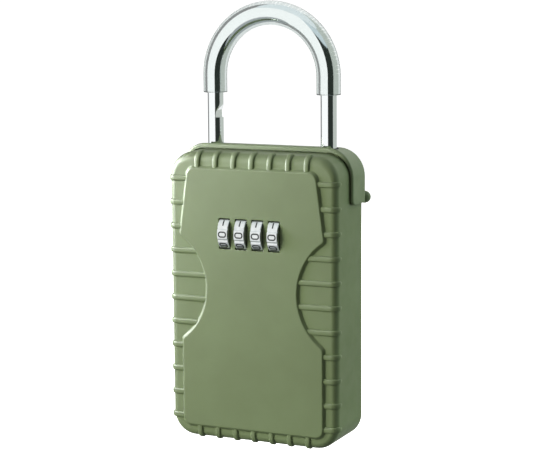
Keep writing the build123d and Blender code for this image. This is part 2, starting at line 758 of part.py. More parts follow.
for k, x in enumerate(dial_x):
    # Number dial: a ring with flutes between its digits and keyways in its bore.
    with BuildPart() as dial:
        with BuildSketch(across(x - dial_width / 2)):
            with Locations((dial_y, dial_z)):
                Circle(dial_radius)
                Circle(hub_bore, mode=Mode.SUBTRACT)
        extrude(amount=dial_width)
        with BuildSketch(across(x - dial_width / 2)):
            with Locations((dial_y, dial_z)):
                with PolarLocations(dial_radius + flute_radius / 2, digits, start_angle=180 / digits):
                    Circle(flute_radius)
        extrude(amount=dial_width, mode=Mode.SUBTRACT)
        with BuildSketch(across(x - dial_width / 2)):
            with Locations((dial_y, dial_z)):
                Circle(keyway_radius)
        extrude(amount=dial_width / 2 + keyway_start, mode=Mode.SUBTRACT)
        with BuildSketch(across(x + keyway_start)):
            with Locations((dial_y, dial_z)):
                with PolarLocations(keyway_radius / 2, digits):
                    Rectangle(keyway_radius, key_width + 2 * fit)
        extrude(amount=dial_width, mode=Mode.SUBTRACT)
    save(dial.part, f"dial_{k + 1}")

    # Code hub: a key in its middle, and a cup at its end with a gate towards the comb.
    with BuildPart() as hub:
        with BuildSketch(across(x + hub_start)):
            with Locations((dial_y, dial_z)):
                Circle(hub_radius)
        extrude(amount=cup_end - hub_start)
        with BuildSketch(across(x + key_start)):
            with Locations((dial_y + key_radius / 2, dial_z)):
                Rectangle(key_radius, key_width)
        extrude(amount=key_length)
        with BuildSketch(across(x + hub_core_end)):
            with Locations((dial_y, dial_z)):
                Circle(cup_bore)
        extrude(amount=cup_end, mode=Mode.SUBTRACT)
        with BuildSketch(across(x + dial_width / 2 + fit)):
            leaving_bar(foot_inner, 2 * hub_radius, foot_width / 2 + foot_play)
        extrude(amount=cup_end, mode=Mode.SUBTRACT)
        with BuildSketch(across(x + hub_start)):
            with Locations((dial_y, dial_z)):
                Circle(axle_radius + running)
        extrude(amount=cup_end - hub_start, mode=Mode.SUBTRACT)
    save(hub.part, f"hub_{k + 1}")

    # Clips on the axle at both ends of the hub.
    for clip_x, end in ((x + hub_start - clip_sheet - fit, "left"), (x + hub_core_end + fit, "right")):
        with BuildPart() as clip:
            with BuildSketch(across(clip_x)):
                with Locations((dial_y, dial_z)):
                    Circle(clip_radius)
                    Circle(axle_radius, mode=Mode.SUBTRACT)
            extrude(amount=clip_sheet)
        save(clip.part, f"axle_clip_{k + 1}_{end}")
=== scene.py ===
import json
from math import atan2, cos, degrees, pi, radians, sin, sqrt

import bmesh
import bpy
from mathutils import Matrix, Vector

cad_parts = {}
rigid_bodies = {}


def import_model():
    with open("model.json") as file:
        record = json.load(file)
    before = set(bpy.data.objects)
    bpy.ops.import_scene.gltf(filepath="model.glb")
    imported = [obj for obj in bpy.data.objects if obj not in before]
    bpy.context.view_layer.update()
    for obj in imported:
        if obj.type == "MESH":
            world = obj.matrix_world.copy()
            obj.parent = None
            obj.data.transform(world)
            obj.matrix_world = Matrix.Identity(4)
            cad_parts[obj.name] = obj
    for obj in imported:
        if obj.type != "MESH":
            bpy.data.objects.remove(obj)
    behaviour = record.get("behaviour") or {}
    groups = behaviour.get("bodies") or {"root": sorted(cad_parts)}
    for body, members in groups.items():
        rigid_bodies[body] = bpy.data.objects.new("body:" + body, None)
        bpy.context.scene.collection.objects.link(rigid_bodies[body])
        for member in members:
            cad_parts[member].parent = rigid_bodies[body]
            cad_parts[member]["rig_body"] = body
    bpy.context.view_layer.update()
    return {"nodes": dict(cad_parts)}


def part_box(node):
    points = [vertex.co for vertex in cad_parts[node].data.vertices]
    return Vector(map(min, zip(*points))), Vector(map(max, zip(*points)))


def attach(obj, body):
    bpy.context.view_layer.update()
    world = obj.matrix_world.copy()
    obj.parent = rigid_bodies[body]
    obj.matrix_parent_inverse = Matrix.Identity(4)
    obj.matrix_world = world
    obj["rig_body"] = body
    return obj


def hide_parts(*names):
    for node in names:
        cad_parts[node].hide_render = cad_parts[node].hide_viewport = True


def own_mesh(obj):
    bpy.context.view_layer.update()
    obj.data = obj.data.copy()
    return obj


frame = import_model()


# Rear case: a zinc die casting with the head block, the key tub and the hinge knuckles in one piece.
# It is sprayed matt olive after casting, and drilled for the shackle, the bolt and the screws.
def chip(red, green, blue):
    """A paint chip read from 0 to 255, as light."""
    return tuple(
        (v / 255 / 12.92) if v / 255 <= 0.04045 else ((v / 255 + 0.055) / 1.055) ** 2.4
        for v in (red, green, blue)
    )


def shader_of(finish):
    """The one shader of a finish."""
    return finish.node_tree.nodes["Principled BSDF"]


def new_finish(name, colour, roughness, metallic=0.0, specular=0.5):
    """A material with one shader, whose constants are set on its own sockets."""
    finish = bpy.data.materials.new(name)
    finish.use_nodes = True
    shader = shader_of(finish)
    shader.inputs["Base Color"].default_value = (*colour, 1)
    shader.inputs["Roughness"].default_value = roughness
    shader.inputs["Metallic"].default_value = metallic
    shader.inputs["Specular IOR Level"].default_value = specular
    return finish


def mottle(finish, size, detail=2.0, stretch=(1, 1, 1)):
    """Noise whose features have a size in millimetres, on the piece's own coordinates."""
    nodes = finish.node_tree.nodes
    links = finish.node_tree.links
    coordinates = nodes.new("ShaderNodeTexCoord")
    stretched = nodes.new("ShaderNodeMapping")
    stretched.inputs["Scale"].default_value = stretch
    noise = nodes.new("ShaderNodeTexNoise")
    noise.inputs["Scale"].default_value = 1000 / size
    noise.inputs["Detail"].default_value = detail
    links.new(coordinates.outputs["Object"], stretched.inputs["Vector"])
    links.new(stretched.outputs["Vector"], noise.inputs["Vector"])
    return noise.outputs["Fac"]


# Most of a noise's values lie within these; colours move within the narrower pair.
noise_range = (0.3, 0.7)
tint_range = (0.36, 0.64)


def vary(finish, socket, low, high, size, stretch=(1, 1, 1)):
    """Let noise move one socket of the shader between two values."""
    nodes = finish.node_tree.nodes
    links = finish.node_tree.links
    spread = nodes.new("ShaderNodeMapRange")
    spread.inputs["From Min"].default_value = noise_range[0]
    spread.inputs["From Max"].default_value = noise_range[1]
    spread.inputs["To Min"].default_value = low
    spread.inputs["To Max"].default_value = high
    links.new(mottle(finish, size, stretch=stretch), spread.inputs["Value"])
    links.new(spread.outputs["Result"], shader_of(finish).inputs[socket])


def tint(finish, low, high, size, detail=3.0, stretch=(1, 1, 1)):
    """Let noise drift the base colour between two colours."""
    nodes = finish.node_tree.nodes
    links = finish.node_tree.links
    ramp = nodes.new("ShaderNodeValToRGB")
    for element, position, colour in zip(ramp.color_ramp.elements, tint_range, (low, high)):
        element.position = position
        element.color = (*colour, 1)
    links.new(mottle(finish, size, detail, stretch), ramp.inputs["Fac"])
    links.new(ramp.outputs["Color"], shader_of(finish).inputs["Base Color"])


def emboss(finish, size, depth, detail=2.0, stretch=(1, 1, 1)):
    """Bumps of a size and a depth in millimetres, over those that are already there."""
    nodes = finish.node_tree.nodes
    links = finish.node_tree.links
    normal = shader_of(finish).inputs["Normal"]
    bump = nodes.new("ShaderNodeBump")
    bump.inputs["Distance"].default_value = depth / 1000
    bump.inputs["Strength"].default_value = 1.0
    if normal.links:
        links.new(normal.links[0].from_socket, bump.inputs["Normal"])
    links.new(mottle(finish, size, detail, stretch), bump.inputs["Height"])
    links.new(bump.outputs["Normal"], normal)


def new_object(name, data):
    """An object for a mesh, a lamp or a camera, in the scene."""
    made = bpy.data.objects.new(name, data)
    bpy.context.scene.collection.objects.link(made)
    return made


def mesh_piece(name, mesh, finish, crease=35):
    """An object for a finished mesh, smooth apart from its creases."""
    mesh.materials.clear()
    mesh.materials.append(finish)
    mesh.shade_smooth()
    mesh.set_sharp_from_angle(angle=radians(crease))
    piece = new_object(name, mesh)
    even = piece.modifiers.new("even_shading", "WEIGHTED_NORMAL")
    even.keep_sharp = True
    return piece


def merged(node, weld=1e-6):
    """A CAD piece's mesh with its loose triangles joined at their corners."""
    bm = bmesh.new()
    bm.from_mesh(frame["nodes"][node].data)
    bmesh.ops.remove_doubles(bm, verts=bm.verts, dist=weld)
    mesh = bpy.data.meshes.new(node)
    bm.to_mesh(mesh)
    bm.free()
    for kept in ("custom_normal", "sharp_edge"):
        if kept in mesh.attributes:
            mesh.attributes.remove(mesh.attributes[kept])
    return mesh


def seat(piece, body, slot, *nodes):
    """Put a finished piece on its body, in the place of the CAD nodes that it shows."""
    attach(piece, body)
    if nodes:
        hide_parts(*nodes)
    return piece


def dress(node, name, finish, slot, crease=35):
    """Show a CAD piece by its own shape, shaded smooth, in a detailed finish."""
    piece = mesh_piece(name, merged(node), finish, crease)
    return seat(piece, frame["nodes"][node]["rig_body"], slot, node)


olive_low = chip(102, 116, 77)
olive_high = chip(107, 122, 82)
case_paint = new_finish("matt_olive_paint", olive_low, 0.55, specular=0.35)
tint(case_paint, olive_low, olive_high, 26)
vary(case_paint, "Roughness", 0.5, 0.62, 6)
emboss(case_paint, 1.3, 0.006)
emboss(case_paint, 0.35, 0.004)
dress("rear_case", "rear_casting", case_paint, "case_paint")

# Small steel parts inside the case: the catch comb, the bolt with its cover plate, and the hinge pin.
# They are pressed or turned from bright zinc-plated steel and screwed or pressed into the casting.
plate_low = chip(150, 150, 146)
plate_high = chip(186, 187, 184)
zinc_plate = new_finish("bright_zinc_plate", plate_high, 0.3, metallic=1.0)
tint(zinc_plate, plate_low, plate_high, 3.2)
vary(zinc_plate, "Roughness", 0.24, 0.42, 1.6)
emboss(zinc_plate, 0.5, 0.003, stretch=(1, 1, 6))
for node, name in (
    ("catch_comb", "steel_catch_comb"),
    ("bolt_cover", "bolt_cover_plate"),
    ("shackle_bolt", "steel_shackle_bolt"),
    ("hinge_pin", "steel_hinge_pin"),
):
    dress(node, name, zinc_plate, "steel")


# Pan-head screws: cold-formed steel with a cross recess, black zinc where the hood shows them and
# bright inside. Two hold the hood, two the bolt's cover, two the comb, and four the lock frame.
def ring_of(bm, points):
    """New corners at the given points, in order."""
    return [bm.verts.new(point) for point in points]


def bridge(bm, low, high, closed=True):
    """Faces between two rows of corners of equal length."""
    count = len(low)
    for k in range(count if closed else count - 1):
        after = (k + 1) % count
        bm.faces.new((low[k], low[after], high[after], high[k]))


def skin(bm, rings, closed=True):
    """Faces between each row of corners and the next."""
    for low, high in zip(rings, rings[1:]):
        bridge(bm, low, high, closed)


def fill_between(bm, *loops):
    """Flat faces inside the first ring of corners, with the others as holes in it."""
    edges = []
    for loop in loops:
        for pair in zip(loop, loop[1:] + loop[:1]):
            edges.append(bm.edges.get(pair) or bm.edges.new(pair))
    bmesh.ops.triangle_fill(bm, use_beauty=True, use_dissolve=False, edges=edges)


def in_metres(bm, name, weld=2e-7):
    """The finished mesh: sizes taken from millimetres to metres, faces turned outwards."""
    bmesh.ops.scale(bm, vec=(0.001, 0.001, 0.001), verts=bm.verts)
    bmesh.ops.remove_doubles(bm, verts=bm.verts, dist=weld)
    bmesh.ops.recalc_face_normals(bm, faces=bm.faces)
    mesh = bpy.data.meshes.new(name)
    bm.to_mesh(mesh)
    bm.free()
    return mesh


def full_turn(steps):
    """The angles of a full turn in equal steps."""
    return [2 * pi * k / steps for k in range(steps)]


def turned(bm, profile, steps, place=lambda across, along, height: (across, along, height)):
    """Rings turned about an axis; each step of the profile is a radius and a height."""
    return [
        ring_of(bm, [place(radius * cos(a), radius * sin(a), height) for a in full_turn(steps)])
        for radius, height in profile
    ]


screw_head = 1.9
screw_shank = 1.0
screw_length = 3.0
screw_head_height = 1.0
recess_half = 1.05
recess_slot = 0.24
recess_depth = 0.55
recess_taper = 0.8
screw_steps = 40


def screw_mesh():
    """One screw along +Z, its head's seat at the origin; the cross is cut in the head's rings."""
    bm = bmesh.new()
    profile = [
        (screw_shank * 0.6, -screw_length),
        (screw_shank, -screw_length + 0.4),
        (screw_shank, 0),
        (screw_head - 0.1, 0),
        (screw_head, 0.12),
        (screw_head, 0.45),
        (screw_head * 0.93, 0.72),
        (screw_head * 0.8, 0.88),
        (screw_head * 0.66, 0.97),
    ]
    rings = turned(bm, profile, screw_steps)
    skin(bm, rings)
    bm.faces.new(rings[0])
    arm = recess_half
    slot = recess_slot
    corners = [(arm, -slot), (arm, slot), (slot, slot), (slot, arm), (-slot, arm), (-slot, slot)]
    corners += [(-x, -z) for x, z in corners]
    mouth = ring_of(bm, [(x, z, screw_head_height) for x, z in corners])
    depth = screw_head_height - recess_depth
    floor = ring_of(bm, [(x * recess_taper, z * recess_taper, depth) for x, z in corners])
    bridge(bm, mouth, floor)
    bm.faces.new(floor)
    fill_between(bm, rings[-1], mouth)
    return in_metres(bm, "pan_head_screw")


def new_tree(name, inputs):
    """A tree of geometry nodes with named inputs; gives the tree and its input and output nodes."""
    tree = bpy.data.node_groups.new(name, "GeometryNodeTree")
    tree.interface.new_socket("Geometry", in_out="INPUT", socket_type="NodeSocketGeometry")
    for label, kind in inputs:
        tree.interface.new_socket(label, in_out="INPUT", socket_type=kind)
    tree.interface.new_socket("Geometry", in_out="OUTPUT", socket_type="NodeSocketGeometry")
    return tree, tree.nodes.new("NodeGroupInput"), tree.nodes.new("NodeGroupOutput")


def ended(tree, geometry, source, out):
    """End a tree in plain geometry with its material set."""
    real = tree.nodes.new("GeometryNodeRealizeInstances")
    painted = tree.nodes.new("GeometryNodeSetMaterial")
    tree.links.new(geometry, real.inputs["Geometry"])
    tree.links.new(real.outputs["Geometry"], painted.inputs["Geometry"])
    tree.links.new(source.outputs["Finish"], painted.inputs["Material"])
    tree.links.new(painted.outputs["Geometry"], out.inputs["Geometry"])


def grown(name, mesh, tree, values, finish, crease=35):
    """The plain mesh that a tree makes of a mesh, as a finished piece."""
    seed = new_object(name + "_seed", mesh)
    grow = seed.modifiers.new("grow", "NODES")
    grow.node_group = tree
    sockets = {
        item.name: item.identifier for item in tree.interface.items_tree if item.in_out == "INPUT"
    }
    for label, value in values.items():
        grow[sockets[label]] = value
    grow[sockets["Finish"]] = finish
    depsgraph = bpy.context.evaluated_depsgraph_get()
    plain = bpy.data.meshes.new_from_object(seed.evaluated_get(depsgraph))
    bpy.data.objects.remove(seed)
    plain.name = name
    return mesh_piece(name, plain, finish, crease)


def spread_tree():
    """A tree that sets a copy of one mesh at each loose point of another object, turned the same way."""
    tree, source, out = new_tree(
        "set_at_points",
        [("Points", "NodeSocketObject"), ("Turn", "NodeSocketVector"), ("Finish", "NodeSocketMaterial")],
    )
    places = tree.nodes.new("GeometryNodeObjectInfo")
    copies = tree.nodes.new("GeometryNodeInstanceOnPoints")
    tree.links.new(source.outputs["Points"], places.inputs["Object"])
    tree.links.new(places.outputs["Geometry"], copies.inputs["Points"])
    tree.links.new(source.outputs["Geometry"], copies.inputs["Instance"])
    tree.links.new(source.outputs["Turn"], copies.inputs["Rotation"])
    ended(tree, copies.outputs["Instances"], source, out)
    return tree


set_at_points = spread_tree()


def scattered(name, mesh, points, turn, finish, crease=35):
    """Copies of a mesh at points given in millimetres, as one piece."""
    marks = bpy.data.meshes.new(name + "_marks")
    marks.from_pydata([(x / 1000, y / 1000, z / 1000) for x, y, z in points], [], [])
    holder = new_object(name + "_marks", marks)
    piece = grown(name, mesh, set_at_points, {"Points": holder, "Turn": turn}, finish, crease)
    bpy.data.objects.remove(holder)
    return piece


def seats(nodes, rearward):
    """Where the heads of the screws sit: the middle of each node's box, at the head's own seat."""
    places = []
    for node in nodes:
        low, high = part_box(node)
        centre = (low + high) * 500
        depth = high.y * 1000 - screw_head_height if rearward else low.y * 1000 + screw_head_height
        places.append((centre.x, depth, centre.z))
    return places


black_zinc = new_finish("black_zinc_screw", chip(38, 40, 36), 0.42, metallic=0.7)
vary(black_zinc, "Roughness", 0.34, 0.5, 0.9)
emboss(black_zinc, 0.4, 0.002)
one_screw = screw_mesh()
hood_screw_nodes = ["hood_screw_1", "hood_screw_2"]
frame_screw_nodes = [f"frame_screw_{k}" for k in (1, 2, 3, 4)]
for name, body, nodes, rearward, finish in (
    ("hood_screws", "case", hood_screw_nodes, True, black_zinc),
    ("cover_screws", "case", ["cover_screw_1", "cover_screw_2"], False, zinc_plate),
    ("comb_screws", "case", ["comb_screw_1", "comb_screw_2"], False, zinc_plate),
    ("frame_screws", "door", frame_screw_nodes, True, zinc_plate),
):
    turn = (-pi / 2, 0, 0) if rearward else (pi / 2, 0, 0)
    piece = scattered(name, one_screw.copy(), seats(nodes, rearward), turn, finish)
    seat(piece, body, "steel", *nodes)


# Door shell: one zinc die casting, the ribbed front with the sides and the bottom of the box. It has
# a raised hourglass panel with four windows, barrels for the hinge pin, and it is painted as the case.
base = 0.8
front = -15.2
back = 13.2
shell_half = 40.0
shell_top = 128.4
shell_corner = 10.5
side_round = 3.0
top_round = 4.4
rear_round = 0.5
door_wall = 2.0
head_cut = 106.9
head_face = -0.1
knuckle_slot = (12.0, 27.6)
knuckle_face = 6.8
panel_face = -16.5
pocket_floor = panel_face + door_wall


def walk(half, low, high, corner, steps=14, breaks_x=(), breaks_z=(), open_bottom=False):
    """Points round a box from the middle of its bottom, each with the way out of it."""
    hair = 0.004
    points = []

    def straight(start, end, way):
        """A side, with a pair of points at each place where something changes along it."""
        run = Vector(end) - Vector(start)
        length = run.length
        along = run / length
        axis = 0 if way[0] == 0 else 1
        marks = [0.0]
        for mark in breaks_x if axis == 0 else breaks_z:
            at = (mark - start[axis]) * along[axis]
            if hair < at < length - hair:
                marks += [at - hair, at + hair]
        for at in sorted(marks) + [length]:
            spot = Vector(start) + along * at
            points.append((spot.x, spot.y, *way))

    def round_corner(x, z, first):
        """A quarter circle about a point, from an angle in degrees, without its ends."""
        for k in range(1, steps):
            a = radians(first + 90 * k / steps)
            points.append((x + corner * cos(a), z + corner * sin(a), cos(a), sin(a)))

    if not open_bottom:
        straight((0, low), (half - corner, low), (0, -1))
        round_corner(half - corner, low + corner, -90)
    straight((half, low + (0 if open_bottom else corner)), (half, high - corner), (1, 0))
    round_corner(half - corner, high - corner, 0)
    straight((half - corner, high), (corner - half, high), (0, 1))
    round_corner(corner - half, high - corner, 90)
    straight((-half, high - corner), (-half, low + (0 if open_bottom else corner)), (-1, 0))
    if not open_bottom:
        round_corner(corner - half, low + corner, 180)
        straight((corner - half, low), (0, low), (0, -1))
        points.pop()
    return points


def arc_through(start, middle, end, steps):
    """Points on the arc through three points."""
    (ax, az), (bx, bz), (cx, cz) = start, middle, end
    d = 2 * (ax * (bz - cz) + bx * (cz - az) + cx * (az - bz))
    sa, sb, sc = ax * ax + az * az, bx * bx + bz * bz, cx * cx + cz * cz
    x = (sa * (bz - cz) + sb * (cz - az) + sc * (az - bz)) / d
    z = (sa * (cx - bx) + sb * (ax - cx) + sc * (bx - ax)) / d
    radius = sqrt((ax - x) ** 2 + (az - z) ** 2)
    first = atan2(az - z, ax - x) % (2 * pi)
    last = atan2(cz - z, cx - x) % (2 * pi)
    angles = [first + (last - first) * k / steps for k in range(steps + 1)]
    return [(x + radius * cos(a), z + radius * sin(a)) for a in angles]


def eased(corners, steps=6):
    """A closed outline with its corners rounded; each corner is a point and a radius."""
    points = []
    for k, (corner, radius) in enumerate(corners):
        here = Vector(corner)
        if not radius:
            points.append(tuple(here))
            continue
        before = (Vector(corners[k - 1][0]) - here).normalized()
        after = (Vector(corners[(k + 1) % len(corners)][0]) - here).normalized()
        half_angle = before.angle(after) / 2
        reach = radius / (sin(half_angle) / cos(half_angle))
        centre = here + (before + after).normalized() * (radius / sin(half_angle))
        first = here + before * reach - centre
        sweep = first.angle_signed(here + after * reach - centre)
        for j in range(steps + 1):
            a = -sweep * j / steps
            x = centre.x + first.x * cos(a) - first.y * sin(a)
            z = centre.y + first.x * sin(a) + first.y * cos(a)
            points.append((x, z))
    return points


def pushed(points, amount):
    """A closed anticlockwise outline moved outwards by an amount."""
    moved = []
    for k, point in enumerate(points):
        before = (Vector(point) - Vector(points[k - 1])).normalized()
        after = (Vector(points[(k + 1) % len(points)]) - Vector(point)).normalized()
        out = Vector((before.y + after.y, -before.x - after.x)).normalized()
        stretch = max(0.5, out.dot(Vector((after.y, -after.x))))
        moved.append((point[0] + out.x * amount / stretch, point[1] + out.y * amount / stretch))
    return moved


def at_depth(bm, points, depth):
    """A ring of corners at one depth, from an outline seen from the front."""
    return ring_of(bm, [(x, depth, z) for x, z in points])


def quarter(steps, first=0):
    """The angles of a quarter turn in equal steps."""
    return [pi / 2 * k / steps for k in range(first, steps + 1)]


panel_top = 121.5
panel_bottom = 6.4
panel_foot_half = 33.5
shoulder = (34.3, 92.3)
waist = (21.5, 68.3)
hip = (panel_foot_half, 45.2)
panel_top_half = 30.4
panel_corner = 3.4
# The panel's flank from its soft foot to its soft crest: how far out of the outline, how high.
panel_flank = [(1.3, 0.0), (1.06, 0.08), (0.92, 0.24), (0.22, 1.0), (0.02, 1.19), (-0.22, 1.28)]
panel_flank.append((-0.45, 1.3))
pocket_inset = 0.9
right_edge = arc_through(hip, waist, shoulder, 26)
right_side = [((panel_foot_half, panel_bottom), panel_corner), (right_edge[0], 2.0)]
right_side += [(point, 0) for point in right_edge[2:-2]]
right_side += [(right_edge[-1], 1.6), ((panel_top_half, panel_top), panel_corner)]
panel_outline = eased(right_side + [((-x, z), r) for (x, z), r in reversed(right_side)])

dial_boxes = [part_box(f"dial_{k}") for k in (1, 2, 3, 4)]
dial_places = [(low.x + high.x) * 500 for low, high in dial_boxes]
dial_z = (dial_boxes[0][0].z + dial_boxes[0][1].z) * 500
window_half = (2.75, 6.8)
window_corner = 0.45
window_relief = 1.1
window_lip = 0.7
# A window's rings from its mouth inwards: how much wider, how much higher, how deep.
window_steps = [(0.22, 0.22, 0), (0.06, 0.06, 0.07), (0, 0, 0.25), (0, 0, window_lip)]
window_steps.append((0, window_relief, window_lip))
recess_depth_inside = 0.7
recess_margin = 0.6
recess_sides = (dial_places[0] - 3.4, dial_places[-1] + 4.3)


def window_loop(x, extra_x, extra_z):
    """The outline of one window, grown sideways and upwards."""
    half_x = window_half[0] + extra_x
    half_z = window_half[1] + extra_z
    signs = ((-1, -1), (1, -1), (1, 1), (-1, 1))
    corners = [(x + side * half_x, dial_z + up * half_z) for side, up in signs]
    return eased([(corner, window_corner) for corner in corners], steps=4)


def door_mesh():
    """The casting's skin, from the rim of the opening round the outside and back inside."""
    bm = bmesh.new()
    breaks_x = [side * x for side in (-1, 1) for x in knuckle_slot]
    path = walk(shell_half, base, shell_top, shell_corner, breaks_x=breaks_x, breaks_z=[head_cut])

    def rim(x, z, out_z):
        """How far back the wall reaches at a point of the outline."""
        if z > head_cut:
            return head_face
        if out_z < -0.99 and knuckle_slot[0] < abs(x) < knuckle_slot[1]:
            return knuckle_face
        return back

    def rounding(out_z):
        """The radius of the front's rounding, larger along the top."""
        return side_round + (top_round - side_round) * max(0.0, out_z) ** 2

    def ring(place):
        """A ring whose points lie off the outline by the inset and at the depth that a rule gives."""
        corners = []
        for x, z, out_x, out_z in path:
            inset, depth = place(x, z, out_z)
            corners.append((x - out_x * inset, depth, z - out_z * inset))
        return ring_of(bm, corners)

    inner_rim = ring(lambda x, z, out_z: (door_wall, rim(x, z, out_z)))
    rings = [inner_rim]
    for a in quarter(3):
        inset = rear_round * (1 - sin(a))
        drop = rear_round * (1 - cos(a))
        rings.append(ring(lambda x, z, out_z: (inset, rim(x, z, out_z) - drop)))
    for a in quarter(10):
        inset = 1 - cos(a)
        drop = 1 - sin(a)
        rings.append(
            ring(lambda x, z, out_z: (rounding(out_z) * inset, front + rounding(out_z) * drop))
        )
    skin(bm, rings)
    steps = [at_depth(bm, pushed(panel_outline, out), front - rise) for out, rise in panel_flank]
    fill_between(bm, rings[-1], steps[0])
    skin(bm, steps)
    mouths = []
    reliefs = []
    for x in dial_places:
        window = [
            at_depth(bm, window_loop(x, wider, higher), panel_face + depth)
            for wider, higher, depth in window_steps
        ]
        deep = pocket_floor - recess_depth_inside
        window.append(at_depth(bm, window_loop(x, 0, window_relief), deep))
        skin(bm, window)
        mouths.append(window[0])
        reliefs.append(window[-1])
    fill_between(bm, steps[-1], *mouths)
    # The inside: the walls, the floor behind the front, and the deeper pocket behind the panel.
    inner_floor = ring(lambda x, z, out_z: (door_wall, front + door_wall))
    bridge(bm, inner_rim, inner_floor)
    pocket_outline = pushed(panel_outline, -pocket_inset)
    pocket_mouth = at_depth(bm, pocket_outline, front + door_wall)
    pocket = at_depth(bm, pocket_outline, pocket_floor)
    fill_between(bm, inner_floor, pocket_mouth)
    bridge(bm, pocket_mouth, pocket)
    low_x, high_x = recess_sides
    low_z = dial_z - window_half[1] - window_relief - recess_margin
    high_z = dial_z + window_half[1] + window_relief + recess_margin
    box = [(low_x, low_z), (high_x, low_z), (high_x, high_z), (low_x, high_z)]
    recess_mouth = at_depth(bm, box, pocket_floor)
    recess = at_depth(bm, box, pocket_floor - recess_depth_inside)
    fill_between(bm, pocket, recess_mouth)
    bridge(bm, recess_mouth, recess)
    fill_between(bm, recess, *reliefs)
    return in_metres(bm, "door_casting")


seat(mesh_piece("door_casting", door_mesh(), case_paint), "door", "case_paint", "door_shell")

hinge_y = 10.2
hinge_z = 3.8
barrel_radius = 3.0
barrel_ease = 0.3
barrel_end = 33.0
barrel_steps = 48
pin_radius = 1.25


def along_x(radial, across, height):
    """Turning about the hinge axis: heights run along X."""
    return (height, hinge_y + radial, hinge_z + across)


def barrel_mesh():
    """The three hinge barrels, bored for the pin and chamfered at their ends."""
    bm = bmesh.new()
    inner, outer = knuckle_slot
    for low_x, high_x in ((-barrel_end, -outer), (-inner, inner), (outer, barrel_end)):
        profile = [
            (pin_radius, low_x),
            (barrel_radius - barrel_ease, low_x),
            (barrel_radius, low_x + barrel_ease),
            (barrel_radius, high_x - barrel_ease),
            (barrel_radius - barrel_ease, high_x),
            (pin_radius, high_x),
        ]
        rings = turned(bm, profile, barrel_steps, along_x)
        skin(bm, rings + rings[:1])
    return in_metres(bm, "door_hinge_barrels")


seat(mesh_piece("door_hinge_barrels", barrel_mesh(), case_paint), "door", "case_paint")


boss_radius = 2.2
boss_bore = 1.1
boss_face = front + 5.0
boss_fillet = (0.3, 0.6)
boss_ease = 0.15
boss_sink = 0.1
boss_steps = 36


def boss_mesh():
    """A screw boss along +Z from its foot in the door's front, bored for its screw."""
    bm = bmesh.new()
    height = boss_face - pocket_floor
    wider, higher = boss_fillet
    profile = [
        (boss_bore, height),
        (boss_bore, higher),
        (boss_radius + wider, 0),
        (boss_radius, higher),
        (boss_radius, height - boss_ease),
        (boss_radius - boss_ease, height),
    ]
    rings = turned(bm, profile, boss_steps)
    skin(bm, rings + rings[:1])
    return in_metres(bm, "screw_boss")


boss_feet = [(x, pocket_floor - boss_sink, z) for x, y, z in seats(frame_screw_nodes, True)]
bosses = scattered("door_screw_bosses", boss_mesh(), boss_feet, (-pi / 2, 0, 0), case_paint)
seat(bosses, "door", "case_paint")


# Ribs: half-round bars cast on the edge of the door, eleven down each side and seven along the top
# and the bottom. Each runs out from under the panel, over the front's rounding, and fades away.
rib_half = 1.3
rib_proud = 0.8
rib_sink = 0.5
rib_squareness = 3.4
rib_tip_share = 0.25
rib_run_out = 2.4


def rib_mesh(bm, place, inner, round_radius, fade):
    """One rib; place turns a position across the edge, a depth and an offset along it into a point."""
    bend = round_radius * pi / 2
    reach = inner - round_radius
    length = reach + bend + rib_run_out
    stations = [0.0, 0.5 * reach, reach] + [reach + bend * k / 10 for k in range(1, 11)]
    stations += [reach + bend + rib_run_out * k / 6 for k in range(1, 7)]
    rings = []
    for station in stations:
        if station <= reach:
            spot, way = Vector((inner - station, 0)), Vector((0, -1))
        elif station <= reach + bend:
            a = (station - reach) / round_radius
            spot = Vector((round_radius * (1 - sin(a)), round_radius * (1 - cos(a))))
            way = Vector((-sin(a), -cos(a)))
        else:
            spot, way = Vector((0, round_radius + station - reach - bend)), Vector((-1, 0))
        left = min(1.0, max(0.0, (length - station) / fade))
        swell = sin(left * pi / 2)
        half = rib_half * (rib_tip_share + (1 - rib_tip_share) * swell)
        corners = []
        for k in range(17):
            u = -cos(pi * k / 16)
            height = rib_proud * swell * sqrt(1 - abs(u) ** rib_squareness)
            point = spot + way * height
            corners.append(place(point.x, point.y, half * u))
        for u in (1, -1):
            point = spot - way * rib_sink
            corners.append(place(point.x, point.y, half * u))
        rings.append(ring_of(bm, corners))
    skin(bm, rings)
    bm.faces.new(rings[0])
    bm.faces.new(rings[-1])


def row_tree():
    """A tree that repeats a mesh in a row."""
    tree, source, out = new_tree(
        "repeat_in_a_row",
        [("Count", "NodeSocketInt"), ("Pitch", "NodeSocketVector"), ("Finish", "NodeSocketMaterial")],
    )
    row = tree.nodes.new("GeometryNodeMeshLine")
    copies = tree.nodes.new("GeometryNodeInstanceOnPoints")
    tree.links.new(source.outputs["Count"], row.inputs["Count"])
    tree.links.new(source.outputs["Pitch"], row.inputs["Offset"])
    tree.links.new(row.outputs["Mesh"], copies.inputs["Points"])
    tree.links.new(source.outputs["Geometry"], copies.inputs["Instance"])
    ended(tree, copies.outputs["Instances"], source, out)
    return tree


repeat_in_a_row = row_tree()
side_rib_count = 11
side_rib_pitch = 10.68
side_rib_drop = 11.6
side_rib_fade = 4.2
side_rib_short = 0.4
first_z = shell_top - side_rib_drop
bm = bmesh.new()
for side in (-1, 1):
    rib_mesh(
        bm,
        lambda inward, back_by, aside: (side * (shell_half - inward), front + back_by, first_z + aside),
        shell_half - waist[0] - side_rib_short,
        side_round,
        side_rib_fade,
    )
side_ribs = grown(
    "door_side_ribs",
    in_metres(bm, "side_rib"),
    repeat_in_a_row,
    {"Count": side_rib_count, "Pitch": (0, 0, -side_rib_pitch / 1000)},
    case_paint,
    crease=50,
)
seat(side_ribs, "door", "case_paint")

